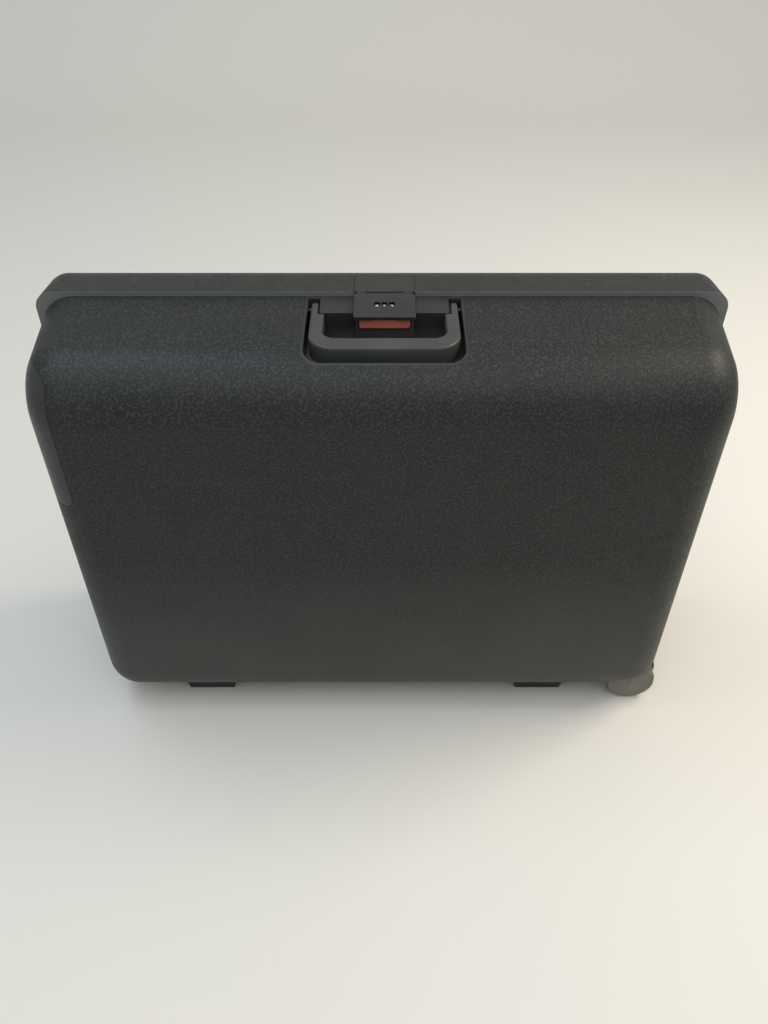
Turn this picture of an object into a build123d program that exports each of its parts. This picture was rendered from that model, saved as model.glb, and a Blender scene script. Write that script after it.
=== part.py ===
from build123d import *
import math
import os

# Hard-shell suitcase standing on its hinge edge.
# X runs along the case, Y from the front shell towards the lid, Z up from the floor.
# The origin is the middle of the base. All sizes are in millimetres.

# Case halves
case_length = 736.0
case_height = 511.0
base_depth = 150.0
lid_depth = 80.0
wall = 3.0
end_taper = 14.0
edge_taper = 6.0
top_radius = 66.0
bottom_radius = 56.0
end_radius = 40.0
lid_proud = 5.0
lid_end_proud = 3.0
lid_end_taper = 6.0
lid_edge_taper = 3.0
lid_edge_radius = 44.0
lid_end_radius = 20.0
foot_height = 18.0
rim_lip_depth = 10.0
rim_lip_extra = 2.0
tongue_reach = 6.0
tongue_thickness = 2.5
tongue_gap = 0.5
seal_width = 2.0
seal_depth = 1.6

# Carry handle and its recess in the top of the front shell
recess_front_setback = 36.0
recess_front_corner = 16.0
recess_depth = 35.0
tray_wall = 3.0
tray_flange = 6.0
tray_flange_thickness = 2.0
ledge_depth = 32.0
ledge_thickness = 5.0
ledge_round = 1.5
arm_slot_length = 27.0
arm_slot_width = 13.0
handle_half_length = 76.5
handle_side_gap = 4.0
handle_arm_width = 14.0
handle_arm_height = 15.0
handle_grip_depth = 20.0
handle_grip_height = 20.0
handle_grip_front_setback = 48.0
handle_outer_corner = 26.0
handle_inner_corner = 14.0
handle_edge_round = 2.6
handle_sink = 1.0
handle_pivot_setback = 15.0
handle_end_width = 7.5
handle_pin_radius = 2.5

# Latch on the rim: hinged hasp over a lock case with three number wheels
latch_shift = 2.6
latch_width = 64.0
latch_thickness = 4.4
latch_gap = 0.4
hasp_hinge_setback = 2.2
hasp_reach = 49.8
hasp_skin = 1.3
hasp_side_wall = 1.6
hasp_corner = 2.5
hasp_pin_radius = 1.1
hasp_knuckle_half = 19.5
hasp_notch = 1.4
hasp_edge_round = 1.0
latch_plate_length = 40.0
latch_plate_thickness = 1.6
lock_case_length = 60.0
lock_case_reach = 44.0
lock_case_height = 28.0
dial_count = 3
dial_pitch = 7.7
dial_width = 5.4
dial_side_gap = 0.6
dial_radius = 6.5
dial_faces = 10
dial_top_gap = 0.15
dial_setback = 26.0
dial_shaft_radius = 1.5
dial_shaft_overhang = 2.0
detent_thickness = 0.2
window_length = 9.4
window_width = 6.2
hook_spacing = 44.0
hook_thickness = 1.5
hook_length = 11.0
hook_width = 8.0
hook_nose = 1.7
hook_setback = 28.5
hook_foot_length = 8.0
hook_foot_thickness = 1.2
catch_thickness = 1.2
catch_travel = 1.6
catch_front_strip = 1.0
catch_lug_thickness = 1.5
catch_side_width = 11.0
keeper_thickness = 1.2
tab_length = 52.0
tab_height = 9.6
tab_thickness = 5.0
tab_proud = 4.0
tab_travel = 3.0
tab_drop = 1.6
tab_corner = 3.0
tab_round = 1.2
spring_strip = 0.5

# Tow handle in the left end
insert_seam = 41.0
insert_top_drop = 17.0
insert_height = 152.0
insert_depth = 82.0
insert_corner = 12.0
insert_seam_gap = 0.5
tow_pocket_front = 32.0
tow_pocket_width = 38.0
tow_pocket_margin = 6.0
tow_pocket_wall = 3.0
tow_pocket_depth = 26.0
tow_side_gap = 1.5
tow_thickness = 13.0
tow_finger_room = 16.0
tow_pivot_drop = 61.0
tow_pivot_depth = 8.2
tow_end_radius = 13.0
tow_pin_radius = 2.5
tow_pin_floor = 1.0

# Wheels at the lower right corner
wheel_radius = 31.5
wheel_width = 20.0
wheel_inset = 37.0
front_wheel_setback = 22.0
rear_wheel_setback = 9.0
tyre_depth = 8.5
tyre_shoulder = 2.4
hub_recess = 1.4
hub_boss_radius = 8.5
hub_inset = 1.0
hub_rim = 3.0
axle_radius = 4.0
axle_head_radius = 6.2
axle_head_thickness = 2.0
arch_gap = 3.0
arch_wall = 3.0
fender_proud = 4.5
fender_thickness = 3.0
fender_bottom = 12.0
wheel_side_gap = 2.0

# Feet and hinges on the bottom
foot_length = 69.0
foot_taper = 5.0
foot_width = 34.0
foot_front_setback = 35.0
foot_round = 2.0
foot_centres = (-232.0, 211.0)
hinge_centres = (-135.0, 0.0, 135.0)
hinge_length = 60.0
hinge_leaf_width = 28.0
hinge_leaf_thickness = 1.5
hinge_barrel_radius = 3.2
hinge_pin_radius = 1.6
hinge_knuckle_half = 10.5
hinge_leaf_corner = 4.0
hinge_barrel_gap = 0.3
rivet_radius = 2.0
rivet_head_radius = 3.4
rivet_head_height = 1.1
rivet_spacing = 40.0

# Clearances
fit = 0.05
seat = 0.15
slip = 0.4

# Places worked out from the sizes above
front_y = -(base_depth + lid_depth) / 2
rear_y = -front_y
parting_y = front_y + base_depth
bottom_z = foot_height
top_z = foot_height + case_height
middle_z = (bottom_z + top_z) / 2
half_length = case_length / 2
reach = case_length + case_height


def block(x0, x1, y0, y1, z0, z1):
    """A box between two corners."""
    size = (x1 - x0, y1 - y0, z1 - z0)
    centre = ((x0 + x1) / 2, (y0 + y1) / 2, (z0 + z1) / 2)
    return Pos(*centre) * Box(*size)


def bar_x(radius, x0, x1, y, z):
    """A round bar along X."""
    return Pos((x0 + x1) / 2, y, z) * Rot(0, 90, 0) * Cylinder(radius, x1 - x0)


def bar_y(radius, x, y0, y1, z):
    """A round bar along Y."""
    return Pos(x, (y0 + y1) / 2, z) * Rot(90, 0, 0) * Cylinder(radius, y1 - y0)


def bar_z(radius, x, y, z0, z1):
    """A round bar along Z."""
    return Pos(x, y, (z0 + z1) / 2) * Cylinder(radius, z1 - z0)


def half_form(outer, inset, toward_lid):
    """One half of the case as a solid, moved in from its outer surface by an inset.

    A side profile with a rounded top and bottom edge runs along the case. The plan cuts its ends to a
    taper, and the ends' edges are rounded all the way round from rim to rim.
    """
    length, z0, z1, depth, end_slope, edge_slope, radii, end_round = outer
    far = depth - inset
    half = length / 2 - inset
    ends = [(-half, 0), (half, 0), (half - end_slope, far), (end_slope - half, far)]
    plan = make_face(Polyline(*ends, close=True))
    top = z1 - inset
    bottom = z0 + inset
    corners = [(0, bottom), (0, top), (far, top - edge_slope), (far, bottom + edge_slope)]
    profile = make_face(Polyline(*corners, close=True))
    for corner, radius in zip(corners[2:], radii):
        vertex = profile.vertices().sort_by_distance((*corner, 0))[0]
        profile = fillet(vertex, radius - inset)
    end_plane = Plane(origin=(0, 0, 0), x_dir=(0, 1, 0), z_dir=(1, 0, 0))
    form = extrude(end_plane * profile, reach, both=True) & extrude(plan, reach, both=True)
    faces = form.faces().sort_by(Axis.X)
    edges = [edge for end in (faces[0], faces[-1]) for edge in end.edges() if edge.center().Y > fit]
    form = fillet(edges, end_round - inset)
    if not toward_lid:
        form = mirror(form, Plane.XZ)
    return Pos(0, parting_y, 0) * form


def base_form(inset=0.0):
    """The front half of the case."""
    radii = (top_radius, bottom_radius)
    outer = (case_length, bottom_z, top_z, base_depth, end_taper, edge_taper, radii, end_radius)
    return half_form(outer, inset, False)


def lid_form(inset=0.0):
    """The rear half of the case, which stands proud of the front half but is flat underneath."""
    length = case_length + 2 * lid_end_proud
    z0 = bottom_z - lid_proud
    z1 = top_z + lid_proud
    radii = (lid_edge_radius, lid_edge_radius)
    outer = (length, z0, z1, lid_depth, lid_end_taper, lid_edge_taper, radii, lid_end_radius)
    return half_form(outer, inset, True) & block(-reach, reach, front_y, reach, bottom_z + inset, reach)


def rim_prism(inset, y0, y1):
    """The front half's rim outline, moved in by an inset, as a prism along Y."""
    plane = Plane(origin=(0, y1, middle_z), x_dir=(1, 0, 0), z_dir=(0, -1, 0))
    corner = end_radius - inset
    outline = RectangleRounded(case_length - 2 * inset, case_height - 2 * inset, corner)
    return extrude(plane * outline, y1 - y0)


def rim_band(outer_inset, inner_inset, y0, y1):
    """A straight band that follows the rim outline, between two insets."""
    return rim_prism(outer_inset, y0, y1) - rim_prism(inner_inset, y0, y1)


def save(name, shape):
    """Write one sub-part."""
    solids = shape.solids()
    whole = solids[0] if len(solids) == 1 else Compound(children=list(solids))
    export_step(whole, f"parts/{name}.step")
    print(f"{name}: {len(solids)} solid(s), {sum(s.volume for s in solids):.0f} mm3")


# The forms that most pieces are cut from
base_outer = base_form()
base_inner = base_form(wall)
lid_outer = lid_form()
lid_inner = lid_form(wall)

# Hinge line, just below the bottom walls
hinge_y = parting_y
hinge_z = bottom_z - hinge_barrel_radius - hinge_barrel_gap
leaf_top = bottom_z - hinge_barrel_gap
leaf_bottom = leaf_top - hinge_leaf_thickness
rivet_y_offset = hinge_leaf_width - 2 * rivet_head_radius

# Wheel places
wheel_x = half_length - wheel_inset
wheel_z = wheel_radius
front_wheel_y0 = front_y + front_wheel_setback
front_wheel_y1 = front_wheel_y0 + wheel_width
rear_wheel_y1 = parting_y - rear_wheel_setback
rear_wheel_y0 = rear_wheel_y1 - wheel_width
arch_radius = wheel_radius + arch_gap
housing_radius = arch_radius + arch_wall
housing_y1 = rear_wheel_y1 + wheel_side_gap + arch_wall
tongue_end_z = wheel_z + housing_radius + slip

# Handle recess places
recess_half_length = handle_half_length + handle_side_gap
recess_y0 = front_y + recess_front_setback
ledge_y0 = parting_y - ledge_depth
recess_floor = top_z - recess_depth
tray_bottom = recess_floor - tray_wall
handle_pivot_y = parting_y - handle_pivot_setback
handle_top = top_z - handle_sink
handle_pivot_z = handle_top - handle_arm_height / 2
slot_inner = recess_half_length - arm_slot_width

# Rim places shared by the base and the lid
latch_cutout = recess_half_length + tray_wall + tray_flange + seat
lip_cutter = Pos(latch_shift, 0, 0) * block(-latch_cutout, latch_cutout, front_y, rear_y, middle_z, reach)

# Latch places
hasp_hinge_y = parting_y - hasp_hinge_setback
hasp_y0 = hasp_hinge_y - hasp_reach
latch_bottom = top_z + latch_gap
latch_top = latch_bottom + latch_thickness
latch_axis_z = (latch_bottom + latch_top) / 2
knuckle_radius = latch_thickness / 2
half_latch = latch_width / 2
plate_y0 = hasp_hinge_y + knuckle_radius + slip
plate_y1 = plate_y0 + latch_plate_length
plate_bottom = top_z + lid_proud - latch_plate_thickness
lock_y0 = parting_y - lock_case_reach
lock_y1 = parting_y - slip
lock_z0 = top_z - lock_case_height
half_lock = lock_case_length / 2
dial_y = parting_y - dial_setback
dial_corner_radius = dial_radius / math.cos(math.pi / dial_faces)
dial_z = latch_top - hasp_skin - dial_top_gap - dial_corner_radius
dial_centres = [(i - (dial_count - 1) / 2) * dial_pitch for i in range(dial_count)]
dial_span = dial_count * dial_pitch / 2 + dial_side_gap
tab_y0 = lock_y0 - tab_proud
tab_z1 = top_z - tab_drop
tab_z0 = tab_z1 - tab_height
hook_y0 = parting_y - hook_setback - hook_width
hook_y1 = hook_y0 + hook_width
hook_z1 = latch_top - hasp_skin
hook_z0 = hook_z1 - hook_length
hook_centres = (-hook_spacing / 2, hook_spacing / 2)
hook_swing = math.hypot(hasp_hinge_y - hook_y0, latch_axis_z - hook_z0) - (hasp_hinge_y - hook_y0)
channel_y0 = hook_y0 - hook_swing - slip
catch_z0 = hook_z0 + hook_nose + slip
catch_y0 = channel_y0 - catch_front_strip
catch_y1 = hook_y1 + slip + catch_lug_thickness

# Tow handle places
insert_x = -half_length + insert_seam
insert_y1 = front_y + insert_depth
insert_top = top_z - insert_top_drop
insert_bottom = insert_top - insert_height
tow_pocket_bottom = insert_bottom + tow_pocket_margin
tow_pivot_height = top_z - tow_pivot_drop
tow_middle = base_depth - tow_pocket_front - tow_pocket_width / 2
tow_face_x = -half_length + end_taper * tow_middle / base_depth
tow_x = tow_face_x + tow_pivot_depth
tow_y0 = front_y + tow_pocket_front
tow_y1 = tow_y0 + tow_pocket_width


def tray_plan(margin, corner):
    """Plan outline of the handle recess with its two arm slots, grown by a margin."""
    front = recess_y0 - margin
    rear = ledge_y0 + margin
    main = Pos(0, (front + rear) / 2) * Rectangle(2 * (recess_half_length + margin), rear - front)
    main = fillet(main.vertices().group_by(Axis.Y)[0], corner + margin)
    slot_rear = ledge_y0 + arm_slot_length + margin
    slot_x0 = slot_inner - margin
    slot_x1 = recess_half_length + margin
    slot = Pos((slot_x0 + slot_x1) / 2, (ledge_y0 + slot_rear) / 2)
    slot_face = Rectangle(slot_x1 - slot_x0, slot_rear - ledge_y0)
    left = Pos(-(slot_x0 + slot_x1) / 2, (ledge_y0 + slot_rear) / 2)
    return main + slot * slot_face + left * slot_face


def tray_prism(margin, z0):
    """The recess outline as a prism from a height up to above the shell."""
    return extrude(Pos(0, 0, z0) * tray_plan(margin, recess_front_corner), reach - z0)


def ledge_plan(margin):
    """The ledge behind the recess, out to the parting plane."""
    half = recess_half_length + tray_wall + margin
    return block(-half, half, ledge_y0, parting_y + 1, top_z - ledge_thickness, top_z + wall)


def insert_prism(margin):
    """The outline of the left end's insert, as a prism along Y."""
    width = insert_x + margin - (-half_length - wall)
    height = insert_top - insert_bottom + 2 * margin
    outline = Rectangle(width, height)
    outline = fillet(outline.vertices().group_by(Axis.X)[-1], insert_corner + margin)
    plane = Plane(origin=(0, insert_y1 + margin, 0), x_dir=(1, 0, 0), z_dir=(0, -1, 0))
    centre = ((insert_x + margin - half_length - wall) / 2, (insert_top + insert_bottom) / 2)
    return extrude(plane * Pos(*centre) * outline, insert_depth + margin + 2 * wall)


def tow_outline(margin, finger_room, y0, y1):
    """The tow bar's outline as a prism along Y: a round end about the pivot and a square free end."""
    plane = Plane(origin=(0, y1, 0), x_dir=(1, 0, 0), z_dir=(0, -1, 0))
    radius = tow_end_radius + margin
    z0 = tow_pocket_bottom + tow_finger_room - finger_room
    x0 = -half_length - wall
    x1 = tow_face_x + tow_pocket_depth
    inner = tow_x + radius
    end = plane * Pos(tow_x, tow_pivot_height) * Circle(radius)
    bar = Rectangle(inner - x0, tow_pivot_height - z0)
    bar = plane * Pos((x0 + inner) / 2, (z0 + tow_pivot_height) / 2) * bar
    prism = extrude(end + bar, y1 - y0)
    return prism & block(x0, x1, y0, y1, 0, reach)


def wheel_arch(radius, y0, y1):
    """A round bar on the wheel axis."""
    return bar_y(radius, wheel_x, y0, y1, wheel_z)


def rivet_places(toward_lid):
    """Centres of the hinge rivets on one side of the parting plane."""
    side = 1 if toward_lid else -1
    y = parting_y + side * rivet_y_offset
    return [(x + dx, y) for x in hinge_centres for dx in (-rivet_spacing / 2, rivet_spacing / 2)]


def rivet_holes(toward_lid):
    """The holes for the hinge rivets."""
    radius = rivet_radius + fit
    return [bar_z(radius, x, y, 0, bottom_z + 4 * wall) for x, y in rivet_places(toward_lid)]


def seal_ring(depth, margin):
    """The band of the rim seal, up to the parting plane, interrupted at the latch."""
    middle = (wall + rim_lip_extra) / 2
    outer = middle - seal_width / 2 - margin
    inner = middle + seal_width / 2 + margin
    return rim_band(outer, inner, parting_y - depth, parting_y) - lip_cutter


def rim_seal():
    """The soft seal in the rim of the front shell, just below the parting plane."""
    return seal_ring(seal_depth, 0) - rim_band(-wall, 3 * wall, parting_y - fit, parting_y + wall)


def front_shell():
    """The deep shell, with a thicker lip at its rim and openings for what is let into it."""
    lip = rim_band(wall / 2, wall + rim_lip_extra, parting_y - rim_lip_depth, parting_y) - lip_cutter
    shell = (base_outer - base_inner) + lip
    shell -= seal_ring(seal_depth, fit)
    shell -= Pos(latch_shift, 0, 0) * (tray_prism(tray_wall + seat, tray_bottom - seat) + ledge_plan(seat))
    shell -= insert_prism(insert_seam_gap)
    shell -= wheel_arch(housing_radius + seat, front_y - 1, housing_y1 + seat)
    for hole in rivet_holes(False):
        shell -= hole
    return shell


def handle_recess():
    """The moulded tray with the ledge and the slots for the handle's arms."""
    tray = tray_prism(tray_wall, tray_bottom) & base_outer
    tray += tray_flange_band()
    tray += ledge_plan(0) & base_outer
    tray -= tray_prism(0, recess_floor)
    half = half_lock + seat
    tray -= block(-half, half, ledge_y0 - 1, parting_y + 1, lock_z0 - seat, top_z + 1)
    edges = tray.edges().filter_by_position(Axis.Y, ledge_y0 - fit, ledge_y0 + fit)
    edges = edges.filter_by_position(Axis.Z, top_z - ledge_thickness / 2, top_z)
    tray = fillet([edge for edge in edges if edge.bounding_box().size.Z < fit], ledge_round)
    for side in (-1, 1):
        x0, x1 = sorted((side * (slot_inner - tray_wall - 1), side * (recess_half_length + tray_wall + 1)))
        tray -= bar_x(handle_pin_radius + fit / 2, x0, x1, handle_pivot_y, handle_pivot_z)
    return tray


def tray_flange_band():
    """The flange that backs the shell round the recess."""
    seat_form = base_inner - base_form(wall + tray_flange_thickness)
    margin = tray_wall + tray_flange
    prism = tray_prism(margin, middle_z)
    limit = block(-reach, reach, front_y, parting_y - rim_lip_depth - slip, middle_z, top_z)
    return prism & seat_form & limit


def carry_handle():
    """The folding handle: a U in plan with a square grip and arms that end in round eyes."""
    grip_y0 = front_y + handle_grip_front_setback
    grip_y1 = grip_y0 + handle_grip_depth
    end_y = handle_pivot_y + handle_arm_height / 2
    outer = Pos(0, (grip_y0 + end_y) / 2) * Rectangle(2 * handle_half_length, end_y - grip_y0)
    outer = fillet(outer.vertices().group_by(Axis.Y)[0], handle_outer_corner)
    inner_half = handle_half_length - handle_arm_width
    inner = Pos(0, (grip_y1 + end_y) / 2 + 1) * Rectangle(2 * inner_half, end_y - grip_y1 + 2)
    inner = fillet(inner.vertices().group_by(Axis.Y)[0], handle_inner_corner)
    plan = extrude(Pos(0, 0, handle_top - handle_grip_height) * (outer - inner), handle_grip_height)

    side_plane = Plane(origin=(-handle_half_length, 0, 0), x_dir=(0, 1, 0), z_dir=(1, 0, 0))
    grip_profile = Pos((grip_y0 + grip_y1) / 2, handle_top - handle_grip_height / 2)
    grip = grip_profile * Rectangle(handle_grip_depth, handle_grip_height)
    arm_profile = Pos((grip_y0 + handle_pivot_y) / 2, handle_pivot_z)
    arm = arm_profile * Rectangle(handle_pivot_y - grip_y0, handle_arm_height)
    eye = Pos(handle_pivot_y, handle_pivot_z) * Circle(handle_arm_height / 2)
    side = extrude(side_plane * (grip + arm + eye), 2 * handle_half_length)
    handle = plan & side

    end_inner = handle_half_length - handle_end_width
    notch_y0 = ledge_y0 - 2 * slip - 1
    handle -= block(-end_inner, end_inner, notch_y0, end_y + 1, tray_bottom, top_z + 1)
    for sign in (-1, 1):
        x0, x1 = sorted((sign * (end_inner - 1), sign * (handle_half_length + 1)))
        handle -= bar_x(handle_pin_radius + fit, x0, x1, handle_pivot_y, handle_pivot_z)
    edges = handle.edges().filter_by_position(Axis.Z, handle_top - 0.01, handle_top + 0.01)
    return fillet(edges, handle_edge_round)


def handle_pins():
    """The two pivot pins, one in each arm slot."""
    x0 = slot_inner - tray_wall + slip
    x1 = recess_half_length + tray_wall - slip
    right = bar_x(handle_pin_radius, x0, x1, handle_pivot_y, handle_pivot_z)
    left = bar_x(handle_pin_radius, -x1, -x0, handle_pivot_y, handle_pivot_z)
    return right + left


def lock_case():
    """The lock's moulded case, let into the ledge below the hasp."""
    case = block(-half_lock, half_lock, lock_y0, lock_y1, lock_z0, top_z)
    case = fillet(case.edges().filter_by(Axis.Z).group_by(Axis.Y)[0], tab_corner / 2)
    well_y0 = dial_y - dial_corner_radius - slip
    well_y1 = dial_y + dial_corner_radius + slip
    well_z0 = dial_z - dial_corner_radius - slip
    case -= block(-dial_span, dial_span, well_y0, well_y1, well_z0, top_z + 1)
    half = dial_span + dial_shaft_overhang + slip
    case -= bar_x(dial_shaft_radius + fit / 2, -half, half, dial_y, dial_z)
    case -= tab_pocket()
    case -= hook_channels(lock_y1 + 1, hook_z0 - slip)
    case -= catch_room()
    case -= keeper_plan(fit, top_z + 1)
    return case


def hook_channels(y1, z0):
    """The channels that the hooks drop into, open towards the lid."""
    rooms = []
    for x in hook_centres:
        x0 = x - hook_thickness / 2 - hook_nose - slip
        rooms.append(block(x0, x + hook_thickness / 2 + slip, channel_y0, y1, z0, reach))
    return rooms[0] + rooms[1]


def keeper_plan(margin, z1):
    """The plate on top of the lock case, in front of the number wheels."""
    half = half_lock - wall + margin
    y1 = dial_y - dial_corner_radius - 2 * slip + margin
    return block(-half, half, lock_y0 + wall - margin, y1, top_z - keeper_thickness, z1)


def catch_plan(margin):
    """The flat part of the catch: a front strip and a tab on each side of the number wheels."""
    z0 = catch_z0 - margin
    z1 = catch_z0 + catch_thickness + margin
    half = hook_centres[1] + catch_side_width / 2
    y_strip = dial_y - dial_corner_radius - 2 * slip
    plan = block(-half - margin, half + margin, catch_y0 - margin, y_strip + margin, z0, z1)
    for x in hook_centres:
        x0 = x - catch_side_width / 2 - margin
        x1 = x + catch_side_width / 2 + margin
        plan += block(x0, x1, catch_y0 - margin, catch_y1 + margin, z0, z1)
    return plan


def catch_lugs(margin):
    """The catch's down-turned lugs, which step in behind the hooks' noses."""
    lugs = []
    for x in hook_centres:
        x1 = x - hook_thickness / 2 - hook_nose - slip
        y0 = hook_y1 + slip - margin
        z1 = catch_z0 + catch_thickness / 2
        lugs.append(block(x1 - 2 - margin, x1 + margin, y0, catch_y1 + margin, hook_z0, z1))
    return lugs[0] + lugs[1]


def catch_room():
    """The room that the catch slides in."""
    room = catch_plan(fit) + catch_lugs(fit)
    return room + Pos(catch_travel, 0, 0) * room


def lock_catch():
    """The sliding catch, drawn back so that the hooks can leave it."""
    slots = hook_channels(catch_y1 + 1, hook_z0 - 1)
    return catch_plan(0) - slots + catch_lugs(0)


def tab_pocket():
    """The room that the release tab slides in."""
    half = tab_length / 2 + slip
    y1 = lock_y0 - tab_proud + tab_thickness + tab_travel + slip
    return block(-half, half, lock_y0 - 1, y1, tab_z0 - slip, tab_z1 + slip)


def latch_keeper():
    """The steel plate on the lock case, with a slot for each hook."""
    return keeper_plan(0, top_z) - hook_channels(parting_y, top_z - 2 * keeper_thickness)


def release_tab():
    """The red push tab below the hasp's free end."""
    tab = block(-tab_length / 2, tab_length / 2, tab_y0, tab_y0 + tab_thickness, tab_z0, tab_z1)
    tab = fillet(tab.edges().filter_by(Axis.Y), tab_corner)
    return fillet(tab.faces().sort_by(Axis.Y)[0].edges(), tab_round)


def spring_bow(half, rise):
    """The area under a bow of the spring."""
    bow = ThreePointArc((-half, 0), (0, rise), (half, 0))
    return make_face(bow + Line((half, 0), (-half, 0)))


def tab_spring():
    """The bowed strip that pushes the tab out."""
    half = tab_length / 4
    rise = tab_travel + slip - 2 * spring_strip
    y0 = tab_y0 + tab_thickness + spring_strip / 2
    z0 = (tab_z0 + tab_z1) / 2 - tab_height / 4
    plane = Plane(origin=(0, y0, z0), x_dir=(1, 0, 0), z_dir=(0, 0, 1))
    strip = spring_bow(half + spring_strip, rise + spring_strip) - spring_bow(half, rise)
    return extrude(plane * strip, tab_height / 2)


def dial(centre):
    """One number wheel with flat number faces."""
    plane = Plane(origin=(centre - dial_width / 2, dial_y, dial_z), x_dir=(0, 1, 0), z_dir=(1, 0, 0))
    outline = RegularPolygon(dial_corner_radius, dial_faces, rotation=180 / dial_faces + 90)
    body = extrude(plane * outline, dial_width)
    return body - bar_x(dial_shaft_radius + fit, centre - dial_width, centre + dial_width, dial_y, dial_z)


def dial_shaft():
    """The steel shaft that the number wheels turn on."""
    half = dial_span + dial_shaft_overhang
    return bar_x(dial_shaft_radius, -half, half, dial_y, dial_z)


def dial_detent():
    """The flat spring that holds each number wheel on a number."""
    z1 = dial_z - dial_corner_radius - slip / 2
    half = dial_span - slip
    y0 = dial_y - dial_radius
    y1 = dial_y + dial_radius
    strip = block(-half, half, y0, y1, z1 - detent_thickness, z1)
    for x in dial_centres[:-1]:
        gap = x + dial_pitch / 2
        strip -= block(gap - slip, gap + slip, y0 + 2 * slip, y1 + slip, 0, reach)
    return strip


def hasp():
    """The hinged hasp cover: a hollow plate with a window over each number wheel."""
    rear = hasp_hinge_y - knuckle_radius - slip
    cover = block(-half_latch, half_latch, hasp_y0, rear, latch_bottom, latch_top)
    cover = fillet(cover.edges().filter_by(Axis.Z).group_by(Axis.Y)[0], hasp_corner)
    top_edges = cover.faces().sort_by(Axis.Z)[-1].edges().sort_by(Axis.Y)[:-1]
    cover = fillet(top_edges, hasp_edge_round)
    inner_half = half_latch - hasp_side_wall
    hollow = block(
        -inner_half,
        inner_half,
        hasp_y0 + hasp_side_wall,
        rear - hasp_side_wall,
        latch_bottom - 1,
        latch_top - hasp_skin,
    )
    cover -= hollow
    for x in dial_centres:
        half = window_width / 2
        y0 = dial_y - window_length / 2
        cover -= block(x - half, x + half, y0, y0 + window_length, top_z, reach)
    notch_y1 = hasp_y0 + 2 * hasp_side_wall
    cover -= block(-dial_span, dial_span, hasp_y0 - 1, notch_y1, top_z, latch_bottom + hasp_notch)
    knuckle = bar_x(knuckle_radius, -hasp_knuckle_half, hasp_knuckle_half, hasp_hinge_y, latch_axis_z)
    web = block(-hasp_knuckle_half, hasp_knuckle_half, rear - 1, hasp_hinge_y, latch_axis_z, latch_top)
    cover += knuckle + web
    return cover - bar_x(hasp_pin_radius + fit, -half_latch, half_latch, hasp_hinge_y, latch_axis_z)


def hasp_hooks():
    """The two steel hooks, each with a foot fixed under the hasp's skin."""
    hooks = []
    for x in hook_centres:
        x0 = x - hook_thickness / 2
        x1 = x + hook_thickness / 2
        foot_x0 = x0 if x < 0 else x1 - hook_foot_length
        hook = block(x0, x1, hook_y0, hook_y1, hook_z0, hook_z1)
        foot_z0 = hook_z1 - hook_foot_thickness
        hook += block(foot_x0, foot_x0 + hook_foot_length, hook_y0, hook_y1, foot_z0, hook_z1)
        hook += block(x0 - hook_nose, x0, hook_y0, hook_y1, hook_z0, hook_z0 + hook_nose)
        hooks.append(hook)
    return hooks[0] + hooks[1]


def plate_pocket():
    """The shallow pocket in the lid for the latch plate, open at the rim for the hasp's hinge."""
    half = half_latch + slip
    layer = lid_form(-1.0) - lid_form(latch_plate_thickness + seat)
    pocket = layer & block(-half, half, front_y, plate_y1 + slip, middle_z, reach)
    return pocket + block(-half, half, front_y, plate_y0, top_z, reach)


def latch_plate():
    """The fixed upper plate of the latch, let in flush with the lid's top and rounded edge."""
    skin = lid_form() - lid_form(latch_plate_thickness)
    plate = skin & block(-half_latch, half_latch, plate_y0, plate_y1, middle_z, reach)
    outer = half_latch - hasp_corner
    inner = hasp_knuckle_half + slip
    for side in (-1, 1):
        x0, x1 = sorted((side * inner, side * outer))
        plate += bar_x(knuckle_radius, x0, x1, hasp_hinge_y, latch_axis_z)
        plate += block(x0, x1, hasp_hinge_y, plate_y0 + knuckle_radius / 2, plate_bottom, latch_top)
    return plate - bar_x(hasp_pin_radius + fit / 2, -half_latch, half_latch, hasp_hinge_y, latch_axis_z)


def hasp_pin():
    """The pin that the hasp swings on."""
    half = half_latch - hasp_corner - slip
    return bar_x(hasp_pin_radius, -half, half, hasp_hinge_y, latch_axis_z)


def tow_insert():
    """The moulded insert of the left end, flush with the shell, with the pocket of the tow handle."""
    skin = insert_prism(0) & (base_outer - base_inner)
    flange_form = base_inner - base_form(wall + tray_flange_thickness)
    limit = block(-reach, 0, front_y, insert_y1 + tray_flange, 0, reach)
    flange = insert_prism(tray_flange) & flange_form & limit
    grown_y0 = tow_y0 - tow_pocket_wall
    grown_y1 = tow_y1 + tow_pocket_wall
    box_z0 = tow_pocket_bottom - tow_pocket_wall
    box_z1 = tow_pivot_height + tow_end_radius + tow_side_gap + tow_pocket_wall
    x1 = tow_face_x + tow_pocket_depth + tow_pocket_wall
    box = block(-half_length - wall, x1, grown_y0, grown_y1, box_z0, box_z1) & base_outer
    insert = skin + flange + box
    insert -= tow_outline(tow_side_gap, tow_finger_room, tow_y0, tow_y1)
    x0 = -half_length - wall
    x1 = tow_face_x + tow_pocket_depth
    insert -= block(x0, x1, tow_y0, tow_y1, tow_pocket_bottom, tow_pivot_height)
    return insert - bar_y(tow_pin_radius + fit / 2, tow_x, grown_y0 + tow_pin_floor, reach, tow_pivot_height)


def tow_handle():
    """The swing-out tow bar: its outer face follows the end of the case."""
    y0 = tow_y0 + tow_side_gap
    y1 = tow_y1 - tow_side_gap
    bar = tow_outline(0, 0, y0, y1) & base_form(slip / 2)
    back = block(tow_face_x + tow_thickness, reach, y0, y1, 0, tow_pivot_height - tow_end_radius)
    bar -= back
    return bar - bar_y(tow_pin_radius + fit, tow_x, y0 - 1, y1 + 1, tow_pivot_height)


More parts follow.
